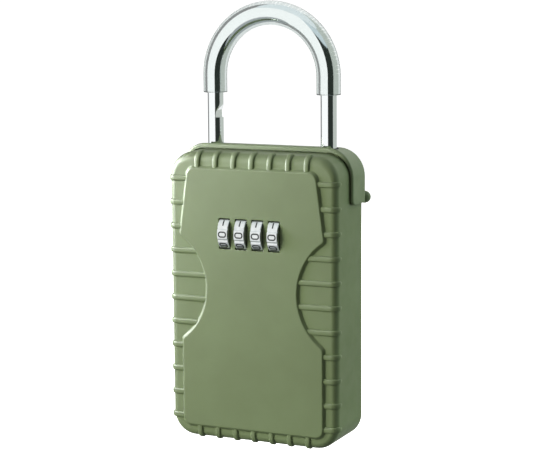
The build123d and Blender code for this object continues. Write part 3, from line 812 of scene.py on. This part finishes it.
end_rib_count = 7
end_rib_pitch = 8.7
end_rib_fade = 4.8
first_x = -(end_rib_count - 1) / 2 * end_rib_pitch
bm = bmesh.new()
for edge, way, radius, inner in (
    (shell_top, -1, top_round, shell_top - panel_top),
    (base, 1, side_round, panel_bottom - base),
):
    rib_mesh(
        bm,
        lambda inward, back_by, aside: (first_x + aside, front + back_by, edge + way * inward),
        inner,
        radius,
        end_rib_fade,
    )
end_ribs = grown(
    "door_end_ribs",
    in_metres(bm, "end_ribs"),
    repeat_in_a_row,
    {"Count": end_rib_count, "Pitch": (end_rib_pitch / 1000, 0, 0)},
    case_paint,
    crease=50,
)
seat(end_ribs, "door", "case_paint")

# Lock frame and what it carries: a bent steel bracket on the back of the door, the axle with its
# clips, the detent strip, the moulded reset lever, the brass code hubs, and the coil spring that the
# reset presses; here the spring only gets its own copy of its mesh.
for node, name in (
    ("lock_frame", "steel_lock_frame"),
    ("detent_spring", "steel_detent_spring"),
    ("hub_axle", "steel_hub_axle"),
):
    dress(node, name, zinc_plate, "steel")
for k in (1, 2, 3, 4):
    for end in ("left", "right"):
        dress(f"axle_clip_{k}_{end}", f"steel_axle_clip_{k}_{end}", zinc_plate, "steel")

hub_spring = dress("hub_spring", "steel_hub_spring", zinc_plate, "steel")
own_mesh(hub_spring)

black_nylon = new_finish("black_nylon", chip(34, 35, 35), 0.5)
vary(black_nylon, "Roughness", 0.44, 0.58, 1.2)
emboss(black_nylon, 0.5, 0.006)
dress("reset_lever", "nylon_reset_lever", black_nylon, "lever_plastic")

hub_brass = new_finish("turned_brass", chip(196, 160, 84), 0.28, metallic=1.0)
tint(hub_brass, chip(176, 140, 70), chip(206, 172, 98), 2.4)
vary(hub_brass, "Roughness", 0.22, 0.38, 0.8, stretch=(6, 1, 1))
emboss(hub_brass, 0.3, 0.002, stretch=(8, 1, 1))
for k in (1, 2, 3, 4):
    dress(f"hub_{k}", f"brass_hub_{k}", hub_brass, "hub_brass")

# Number dials: four zinc rings in satin chrome, each with ten lobes that carry a number filled with
# black paint. They turn on the brass hubs and stand out of the windows by 2.5 mm.
dial_y = (dial_boxes[0][0].y + dial_boxes[0][1].y) * 500
dial_radius = 8.46
dial_half_width = 2.55
dial_bore = 4.5
digit_count = 10
valley_depth = 0.3
valley_half = 5.0
dial_ease = 0.28
dial_steps = 240
# Half of a dial's profile from its bore: how far inside its radius, and where across its width.
dial_half_profile = [(None, 1), (-2.2, 1), (-dial_ease, 1), (-0.08, 0.93), (0, 0.88)]

satin_chrome = new_finish("satin_chrome", chip(212, 216, 215), 0.36, metallic=1.0)
tint(satin_chrome, chip(204, 208, 207), chip(216, 220, 219), 1.8)
vary(satin_chrome, "Roughness", 0.32, 0.44, 0.7, stretch=(5, 1, 1))
emboss(satin_chrome, 0.35, 0.002, stretch=(7, 1, 1))


def lobed(angle):
    """The dial's radius at an angle, with a shallow valley between each two numbers."""
    step = 360 / digit_count
    away = abs(degrees(angle) % step - step / 2)
    if away >= valley_half:
        return dial_radius
    return dial_radius - valley_depth * (0.5 + 0.5 * cos(pi * away / valley_half))


def dial_mesh(x):
    """One ring: two sides, an eased rim on each, the lobed face and the bore."""
    bm = bmesh.new()
    profile = [(inset, -share) for inset, share in dial_half_profile] + dial_half_profile[::-1]
    rings = []
    for inset, share in profile:
        side_x = x + share * dial_half_width
        corners = []
        for a in full_turn(dial_steps):
            radius = dial_bore if inset is None else lobed(a) + inset
            corners.append((side_x, dial_y - radius * cos(a), dial_z + radius * sin(a)))
        rings.append(ring_of(bm, corners))
    skin(bm, rings + rings[:1])
    return in_metres(bm, "chrome_dial")


for k, x in enumerate(dial_places):
    piece = mesh_piece(f"chrome_dial_{k + 1}", dial_mesh(x), satin_chrome, crease=40)
    seat(piece, f"dial_{k + 1}", "dial_chrome", f"dial_{k + 1}")

number_size = (3.38, 2.15)
number_stroke = 0.6
number_ease = 0.95
number_thickness = 0.06
number_bend_steps = 5
number_pitch = 0.2
black_fill = new_finish("black_number_fill", chip(22, 25, 24), 0.45)
vary(black_fill, "Roughness", 0.38, 0.55, 0.4)
emboss(black_fill, 0.3, 0.003)

# Each number's strokes, 0 first, in halves of the number's width and height.
number_strokes = (
    [[(-1, -1), (1, -1), (1, 1), (-1, 1), (-1, -1)]],
    [[(0, -1.25), (0, 1.25)]],
    [[(-1, 1), (1, 1), (1, 0), (-1, -1), (1, -1)]],
    [[(-1, 1), (1, 1), (1, 0), (-0.4, 0)], [(1, 0), (1, -1), (-1, -1)]],
    [[(1, -0.4), (-1, -0.4), (0.3, 1)], [(0.3, 1), (0.3, -1)]],
    [[(1, 1), (-1, 1), (-1, 0.1), (1, 0.1), (1, -1), (-1, -1)]],
    [[(1, 1), (-1, 1), (-1, -1), (1, -1), (1, 0.1), (-1, 0.1)]],
    [[(-1, 1), (1, 1), (-0.2, -1)]],
    [[(-1, -1), (1, -1), (1, 1), (-1, 1), (-1, -1)], [(-1, 0), (1, 0)]],
    [[(1, -0.1), (-1, -0.1), (-1, 1), (1, 1), (1, -1), (-1, -1)]],
)


def number_strip():
    """The ten numbers as bare strokes on a flat strip, one step of the dial apart."""
    points = []
    edges = []
    step = 2 * pi * dial_radius / digit_count
    for digit, strokes in enumerate(number_strokes):
        for stroke in strokes:
            closed = stroke[0] == stroke[-1]
            marks = stroke[:-1] if closed else stroke
            first = len(points)
            for x, z in marks:
                up = z * number_size[1] / 2 + digit * step
                points.append((x * number_size[0] / 2000, up / 1000, 0))
            edges += [(first + k, first + k + 1) for k in range(len(marks) - 1)]
            if closed:
                edges.append((first + len(marks) - 1, first))
    mesh = bpy.data.meshes.new("number_strip")
    mesh.from_pydata(points, edges, [])
    return mesh


def number_tree():
    """A tree that gives strokes their width, rounds their bends and wraps the strip round a drum."""
    tree, source, out = new_tree(
        "numbers_round_a_drum",
        [
            ("Stroke", "NodeSocketFloat"),
            ("Thickness", "NodeSocketFloat"),
            ("Ease", "NodeSocketFloat"),
            ("Radius", "NodeSocketFloat"),
            ("Centre", "NodeSocketVector"),
            ("Finish", "NodeSocketMaterial"),
        ],
    )
    nodes = tree.nodes
    links = tree.links

    def worked(operation, first, second=None):
        """One step of arithmetic; the second value is a socket or a plain number."""
        node = nodes.new("ShaderNodeMath")
        node.operation = operation
        links.new(first, node.inputs[0])
        if isinstance(second, float):
            node.inputs[1].default_value = second
        elif second is not None:
            links.new(second, node.inputs[1])
        return node.outputs["Value"]

    strokes = nodes.new("GeometryNodeMeshToCurve")
    links.new(source.outputs["Geometry"], strokes.inputs["Mesh"])
    bends = nodes.new("GeometryNodeFilletCurve")
    bends.mode = "POLY"
    bends.inputs["Count"].default_value = number_bend_steps
    bends.inputs["Limit Radius"].default_value = True
    links.new(strokes.outputs["Curve"], bends.inputs["Curve"])
    links.new(source.outputs["Ease"], bends.inputs["Radius"])
    finer = nodes.new("GeometryNodeResampleCurve")
    finer.mode = "LENGTH"
    finer.inputs["Length"].default_value = number_pitch / 1000
    links.new(bends.outputs["Curve"], finer.inputs["Curve"])
    flat = nodes.new("GeometryNodeSetCurveNormal")
    flat.mode = "Z_UP"
    links.new(finer.outputs["Curve"], flat.inputs["Curve"])
    band = nodes.new("GeometryNodeCurvePrimitiveQuadrilateral")
    links.new(source.outputs["Stroke"], band.inputs["Width"])
    links.new(source.outputs["Thickness"], band.inputs["Height"])
    solid = nodes.new("GeometryNodeCurveToMesh")
    solid.inputs["Fill Caps"].default_value = True
    links.new(flat.outputs["Curve"], solid.inputs["Curve"])
    links.new(band.outputs["Curve"], solid.inputs["Profile Curve"])
    here = nodes.new("GeometryNodeInputPosition")
    parts = nodes.new("ShaderNodeSeparateXYZ")
    links.new(here.outputs["Position"], parts.inputs["Vector"])
    angle = worked("DIVIDE", parts.outputs["Y"], source.outputs["Radius"])
    reach = worked("ADD", parts.outputs["Z"], source.outputs["Radius"])
    spot = nodes.new("ShaderNodeCombineXYZ")
    links.new(parts.outputs["X"], spot.inputs["X"])
    ahead = worked("MULTIPLY", worked("COSINE", angle), reach)
    links.new(worked("MULTIPLY", ahead, -1.0), spot.inputs["Y"])
    links.new(worked("MULTIPLY", worked("SINE", angle), reach), spot.inputs["Z"])
    wrapped = nodes.new("GeometryNodeSetPosition")
    links.new(solid.outputs["Mesh"], wrapped.inputs["Geometry"])
    links.new(spot.outputs["Vector"], wrapped.inputs["Position"])
    links.new(source.outputs["Centre"], wrapped.inputs["Offset"])
    ended(tree, wrapped.outputs["Geometry"], source, out)
    return tree


numbers_round_a_drum = number_tree()
for k, x in enumerate(dial_places):
    numbers = grown(
        f"dial_numbers_{k + 1}",
        number_strip(),
        numbers_round_a_drum,
        {
            "Stroke": number_stroke / 1000,
            "Thickness": number_thickness / 1000,
            "Ease": number_ease / 1000,
            "Radius": dial_radius / 1000,
            "Centre": (x / 1000, dial_y / 1000, dial_z / 1000),
        },
        black_fill,
    )
    seat(numbers, f"dial_{k + 1}", "dial_chrome")

# Shackle: a hardened steel rod bent to a half circle and plated in bright chrome. Its left leg has
# two notches for the bolt; it slides in the bores of the case.
rod_radius = 3.6
rod_ease = 0.8
rod_steps = 72
leg_half = 27.35
shackle_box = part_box("shackle")
shackle_low = shackle_box[0].z * 1000
leg_y = (shackle_box[0].y + shackle_box[1].y) * 500
arch_z = shackle_box[1].z * 1000 - leg_half - rod_radius
notch_shelves = (120.2, 142.2)
notch_depth = 2.0
notch_flat = 2.6
notch_slope = 3.3

bright_chrome = new_finish("bright_chrome", chip(222, 226, 226), 0.06, metallic=1.0)
vary(bright_chrome, "Roughness", 0.035, 0.09, 2.2, stretch=(1, 1, 0.3))
emboss(bright_chrome, 0.9, 0.0006, stretch=(1, 1, 0.25))


def notch_limit(z):
    """How far towards the middle the left leg may reach at a height."""
    for shelf in notch_shelves:
        above = z - shelf
        if 0 <= above <= notch_flat + notch_slope:
            return rod_radius - notch_depth * min(1, (notch_flat + notch_slope - above) / notch_slope)
    return rod_radius


def bow_stations(left_heights, right_heights, steps):
    """Places from the foot of the left leg to that of the right: x, z and the way inwards."""
    stations = [(-leg_half, z, 1.0, 0.0) for z in left_heights]
    for k in range(steps + 1):
        a = pi * k / steps
        stations.append((-leg_half * cos(a), arch_z + leg_half * sin(a), cos(a), -sin(a)))
    return stations + [(leg_half, z, -1.0, 0.0) for z in right_heights]


def rod_ring(bm, station, radius, limit):
    """A ring round one place of the bow, flat where it would reach inwards past a limit."""
    x, z, in_x, in_z = station
    corners = []
    for a in full_turn(rod_steps):
        inward = min(radius * cos(a), limit)
        corners.append((x + in_x * inward, leg_y + radius * sin(a), z + in_z * inward))
    return ring_of(bm, corners)


def shackle_mesh():
    """The bent rod with its eased feet; the left leg is flat where a notch cuts it."""
    bm = bmesh.new()
    heights = [shackle_low, shackle_low + rod_ease]
    for shelf in notch_shelves:
        heights += [shelf - 0.25, shelf - 0.001, shelf + 0.001]
        heights += [shelf + notch_flat * share for share in (0.5, 1.0)]
        heights += [shelf + notch_flat + notch_slope * share for share in (0.25, 0.5, 0.75, 1.0)]
        heights.append(shelf + notch_flat + notch_slope + 0.3)
    stations = bow_stations(heights, [shackle_low + rod_ease, shackle_low], 48)
    rings = []
    for k, station in enumerate(stations):
        radius = rod_radius - (rod_ease if k in (0, len(stations) - 1) else 0)
        limit = notch_limit(station[1]) if k < len(heights) else radius
        rings.append(rod_ring(bm, station, radius, limit))
    skin(bm, rings)
    bm.faces.new(rings[0])
    bm.faces.new(rings[-1])
    return in_metres(bm, "chrome_shackle")


seat(mesh_piece("chrome_shackle", shackle_mesh(), bright_chrome), "shackle", "shackle_chrome", "shackle")

# Sleeve: a clear vinyl tube pushed over the bow of the shackle, so that it does not scratch what it
# hangs on. It is cut square at both ends, and the chrome shows through it.
sleeve_radius = 5.35
sleeve_bore = 3.59
sleeve_ease = 0.2
sleeve_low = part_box("shackle_sleeve")[0].z * 1000

clear_vinyl = new_finish("clear_vinyl", (0.97, 0.99, 0.98), 0.04)
shader_of(clear_vinyl).inputs["Transmission Weight"].default_value = 1.0
shader_of(clear_vinyl).inputs["IOR"].default_value = 1.45
vary(clear_vinyl, "Roughness", 0.02, 0.07, 5)
vinyl_nodes = clear_vinyl.node_tree.nodes
haze = vinyl_nodes.new("ShaderNodeVolumeAbsorption")
haze.inputs["Color"].default_value = (0.2, 0.36, 0.3, 1)
haze.inputs["Density"].default_value = 25.0
clear_vinyl.node_tree.links.new(haze.outputs["Volume"], vinyl_nodes["Material Output"].inputs["Volume"])
emboss(clear_vinyl, 4.0, 0.01)


def sleeve_mesh():
    """The tube's outside, eased at its ends, its bore, and its two cut faces."""
    bm = bmesh.new()
    ends = [sleeve_low, sleeve_low + sleeve_ease]
    stations = bow_stations(ends, ends[::-1], 64)
    shells = []
    for full, ease in ((sleeve_radius, sleeve_ease), (sleeve_bore, 0)):
        rings = []
        for k, station in enumerate(stations):
            radius = full - (ease if k in (0, len(stations) - 1) else 0)
            rings.append(rod_ring(bm, station, radius, radius))
        shells.append(rings)
    outer, inner = shells
    skin(bm, outer)
    skin(bm, inner)
    bridge(bm, outer[0], inner[0])
    bridge(bm, outer[-1], inner[-1])
    return in_metres(bm, "clear_sleeve")


seat(mesh_piece("clear_sleeve", sleeve_mesh(), clear_vinyl), "shackle", "clear_vinyl", "shackle_sleeve")

# Bushes: two black rubber rings set flush in the top of the hood, which steady the legs and keep
# water out of their bores.
black_rubber = new_finish("black_rubber", chip(30, 31, 30), 0.7)
vary(black_rubber, "Roughness", 0.62, 0.78, 1.5)
emboss(black_rubber, 0.6, 0.01)
for side in ("left", "right"):
    dress(f"leg_grommet_{side}", f"rubber_bush_{side}", black_rubber, "rubber")

# Hood: a moulded eave over the top and the upper rear of the case, in the colour of the paint, with
# a raised rim along its front and a round roll across its lower rear edge. It is sprung over the
# head block and held by two screws.
seam_gap = 0.5
hood_wall = 1.2
hood_front = -1.2
hood_low = 106.5
hood_corner = 2.5
hood_rear_round = 2.2
rim_rise = 1.0
rim_width = 1.9
rim_round = 1.0
# The fall behind the rim's crest: how far across it, and how much of its rise is left.
rim_fall = ((0.35, 0.9), (0.6, 0.55), (0.8, 0.2), (1.0, 0.0))
lip_inset = 0.2
lip_depth = 0.3
roll_radius = 2.69
roll_y = 16.3
roll_z = 108.2
roll_half = 40.1
leg_hole = rod_radius + 0.8
hood_screw_hole = 1.15
drill_length = 6

hood_low_tint = chip(104, 119, 82)
hood_high_tint = chip(109, 124, 87)
hood_paint = new_finish("olive_hood_moulding", hood_low_tint, 0.5, specular=0.4)
tint(hood_paint, hood_low_tint, hood_high_tint, 30)
vary(hood_paint, "Roughness", 0.44, 0.56, 7)
emboss(hood_paint, 0.5, 0.004)


def hood_mesh():
    """The eave's skin, from the back face under it, out round its front rim, and over to the rear."""
    bm = bmesh.new()
    half = shell_half + seam_gap
    high = shell_top + seam_gap
    corner_heights = [hood_low + hood_corner * (1 - cos(a)) for a in quarter(6, first=1)]
    path = walk(half, hood_low, high, shell_corner + seam_gap, open_bottom=True)
    right = [(half, z, 1, 0) for z in corner_heights]
    left = [(-half, z, -1, 0) for z in reversed(corner_heights)]
    path = path[:1] + right + path[1:-1] + left + path[-1:]

    def lip(z):
        """Where the front edge lies at a height: it sweeps back round the lower corner."""
        up = min(hood_corner, z - hood_low)
        return hood_front + hood_corner - sqrt(max(0.0, hood_corner**2 - (hood_corner - up) ** 2))

    def row(place, rise=0.0):
        """A row of corners: place gives how far out and how deep they lie at a height."""
        corners = []
        for x, z, out_x, out_z in path:
            out, depth = place(z)
            corners.append((x + out_x * out, depth, z + out_z * (out + rise)))
        return ring_of(bm, corners)

    rows = [
        row(lambda z: (0.0, back)),
        row(lambda z: (0.0, lip(z) + lip_depth)),
        row(lambda z: (lip_inset, lip(z))),
    ]
    for a in quarter(5):
        out = hood_wall - rim_round * (1 - sin(a))
        rows.append(row(lambda z: (out, lip(z) + rim_round * (1 - cos(a))), rim_rise))
    for share, left in rim_fall:
        depth = rim_round + (rim_width - rim_round) * share
        rows.append(row(lambda z: (hood_wall, lip(z) + depth), rim_rise * left))
    for a in quarter(6):
        out = hood_wall - hood_rear_round * (1 - cos(a))
        depth = back + hood_wall - hood_rear_round * (1 - sin(a))
        rows.append(row(lambda z: (out, depth)))
    skin(bm, rows, closed=False)
    bm.faces.new(rows[-1])
    bm.faces.new(rows[0])
    ends = ([r[0] for r in rows], [r[-1] for r in rows])
    for end in ends:
        bm.faces.new(end)
    bottom = [ends[0][0], ends[0][-1], ends[1][-1], ends[1][0]]
    bm.faces.new(bottom)
    return in_metres(bm, "hood_eave")


def roll_mesh():
    """A round bar along X with ball ends."""
    bm = bmesh.new()
    profile = [
        (roll_radius * sin(a), -roll_half - roll_radius * cos(a)) for a in quarter(10, first=1)
    ]
    profile += [(radius, -height) for radius, height in reversed(profile)]
    rings = turned(bm, profile, 48, lambda a, b, height: (height, roll_y + a, roll_z + b))
    skin(bm, rings)
    bm.faces.new(rings[0])
    bm.faces.new(rings[-1])
    return in_metres(bm, "hood_roll")


def bored(piece, holes):
    """Cut round holes through a piece; each hole is its centre, its radius and its turn about X."""
    for centre, radius, turn in holes:
        bm = bmesh.new()
        bmesh.ops.create_cone(
            bm, cap_ends=True, segments=64, radius1=radius, radius2=radius, depth=drill_length
        )
        bmesh.ops.rotate(bm, matrix=Matrix.Rotation(turn, 3, "X"), verts=bm.verts)
        bmesh.ops.translate(bm, vec=centre, verts=bm.verts)
        drill = new_object("drill", in_metres(bm, "drill"))
        cut = piece.modifiers.new("bore", "BOOLEAN")
        cut.operation = "DIFFERENCE"
        cut.solver = "EXACT"
        cut.object = drill
        depsgraph = bpy.context.evaluated_depsgraph_get()
        plain = bpy.data.meshes.new_from_object(piece.evaluated_get(depsgraph))
        piece.modifiers.remove(cut)
        piece.data = plain
        bpy.data.objects.remove(drill)
    piece.data.shade_smooth()
    piece.data.set_sharp_from_angle(angle=radians(35))
    return piece


holes = [((side * leg_half, leg_y, shell_top), leg_hole, 0) for side in (-1, 1)]
holes += [((x, back, z), hood_screw_hole, pi / 2) for x, y, z in seats(hood_screw_nodes, True)]
hood = bored(mesh_piece("hood_eave", hood_mesh(), hood_paint), holes)
seat(hood, "case", "hood_plastic", "hood")
seat(mesh_piece("hood_roll", roll_mesh(), hood_paint), "case", "hood_plastic")

# Studio: a pale floor low enough for the open door, a key lamp from the left, weaker lamps from the
# right and from behind, and a small lamp whose sheen only the paint shows. Curved cards, seen in
# reflections alone, stand for the walls of a light tent.
def lit_finish(name, colour, glow, strength):
    """A dull finish that gives off light of its own."""
    finish = new_finish(name, colour, 0.9, specular=0.0)
    shader_of(finish).inputs["Emission Color"].default_value = (*glow, 1)
    shader_of(finish).inputs["Emission Strength"].default_value = strength
    return finish


pale_floor = lit_finish("pale_floor", (0.9, 0.9, 0.9), (1, 1, 1), 0.95)
floor_mesh = bpy.data.meshes.new("floor")
floor_drop = 0.036
floor_corners = [(x, y, -floor_drop) for x, y in ((-30, -30), (30, -30), (30, 60), (-30, 60))]
floor_mesh.from_pydata(floor_corners, [], [(0, 1, 2, 3)])
floor_mesh.materials.append(pale_floor)
floor = new_object("floor", floor_mesh)
floor.visible_diffuse = False
floor.visible_glossy = False
floor.visible_transmission = False

lamp_target = Vector((0, 0, 0.09))


def area_light(name, azimuth, elevation, distance, size, watts, colour):
    """A soft box that faces the middle of the object."""
    a = radians(azimuth)
    e = radians(elevation)
    lamp = bpy.data.lights.new(name, "AREA")
    lamp.shape = "RECTANGLE"
    lamp.size, lamp.size_y = size
    lamp.energy = watts
    lamp.color = colour
    holder = new_object(name, lamp)
    holder.location = lamp_target + Vector((sin(a) * cos(e), -cos(a) * cos(e), sin(e))) * distance
    holder.rotation_euler = (lamp_target - holder.location).to_track_quat("-Z", "Y").to_euler()
    return holder


key_light = area_light("key_light", -45, 15, 0.6, (0.3, 0.36), 4.8, (1.0, 1.0, 0.99))
side_light = area_light("side_light", 117, 12, 0.9, (0.5, 0.7), 3.0, (0.77, 0.99, 0.98))
back_light = area_light("back_light", 160, 21, 0.9, (0.9, 0.4), 7.6, (1.0, 1.0, 0.97))
for lamp in (key_light, side_light, back_light):
    lamp.visible_glossy = False
    lamp.visible_transmission = False

sheen_light = area_light("sheen_light", -72, 17, 0.26, (0.12, 0.12), 4.5, (0.97, 1.0, 1.0))
sheen_light.visible_diffuse = False
sheen_light.visible_transmission = False
painted = bpy.data.collections.new("painted_pieces")
for piece in bpy.context.scene.objects:
    if piece.type == "MESH" and piece.active_material in (case_paint, hood_paint):
        painted.objects.link(piece)
sheen_light.light_linking.receiver_collection = painted


tent_radius = 1.0
tent_low = -0.8
tent_high = 1.6
dark_top = 0.75


def reflected_card(name, from_azimuth, to_azimuth, low, high, shade, tone=(1, 1, 1)):
    """A curved card round the object that only reflections see; it stands in for the tent's wall."""
    steps = 16
    rows = []
    for k in range(steps + 1):
        a = radians(from_azimuth + (to_azimuth - from_azimuth) * k / steps)
        rows += [(tent_radius * sin(a), -tent_radius * cos(a), z) for z in (low, high)]
    mesh = bpy.data.meshes.new(name)
    mesh.from_pydata(rows, [], [(2 * k, 2 * k + 1, 2 * k + 3, 2 * k + 2) for k in range(steps)])
    mesh.materials.append(lit_finish(name, (0, 0, 0), [shade * part for part in tone], 1.0))
    card = new_object(name, mesh)
    card.visible_camera = False
    card.visible_diffuse = False
    card.visible_shadow = False
    return card


reflected_card("white_wall_left", -89, 13, tent_low, tent_high, 1.3)
reflected_card("dark_wall_front_right", 15, 85, tent_low, dark_top, 0.035, (0.9, 1.15, 1.0))
reflected_card("blue_wall_above_dark", 13, 85, dark_top, tent_high, 0.85, (0.88, 1.0, 1.06))
reflected_card("pale_wall_right", 85, 170, tent_low, tent_high, 0.66, (0.97, 1.03, 0.96))
reflected_card("white_wall_back", 170, 224, tent_low, tent_high, 1.1)
reflected_card("grey_wall_back_left", 224, 271, tent_low, tent_high, 0.3)
for name, level, shade in (("white_ceiling", tent_high, 1.05), ("grey_ground", tent_low, 0.5)):
    disc = reflected_card(name, 0, 360, level, level, shade, (0.94, 1.0, 1.03))
    for vertex in list(disc.data.vertices)[::2]:
        vertex.co.xy = (0, 0)

world = bpy.data.worlds.new("studio")
bpy.context.scene.world = world
world.use_nodes = True
surround = world.node_tree.nodes["Background"]
surround.inputs["Color"].default_value = (0.93, 0.97, 0.95, 1)
surround.inputs["Strength"].default_value = 0.18

# Camera: the photograph's viewpoint, a long lens to the right of the box and a little above it. Its
# angles, distance and target come from a fit to corners, edges and ribs measured in the photograph.
lens_yaw = 24.824
lens_pitch = 8.348
lens_roll = -0.428
lens_distance = 0.785834
lens_target = Vector((-0.000491, 0.0048, 0.094973))
camera_data = bpy.data.cameras.new("camera")
camera_data.sensor_width = 36.0
camera_data.lens = 118.04
camera_data.clip_start = 0.01
camera_data.clip_end = 200
camera = new_object("camera", camera_data)
yaw = radians(lens_yaw)
pitch = radians(lens_pitch)
away = Vector((sin(yaw) * cos(pitch), -cos(yaw) * cos(pitch), sin(pitch)))
camera.location = lens_target + away * lens_distance
facing = away.to_track_quat("Z", "Y").to_matrix().to_4x4()
roll = Matrix.Rotation(radians(lens_roll), 4, "Z")
camera.matrix_world = Matrix.Translation(camera.location) @ facing @ roll
bpy.context.scene.camera = camera
bpy.context.scene.view_settings.view_transform = "Standard"
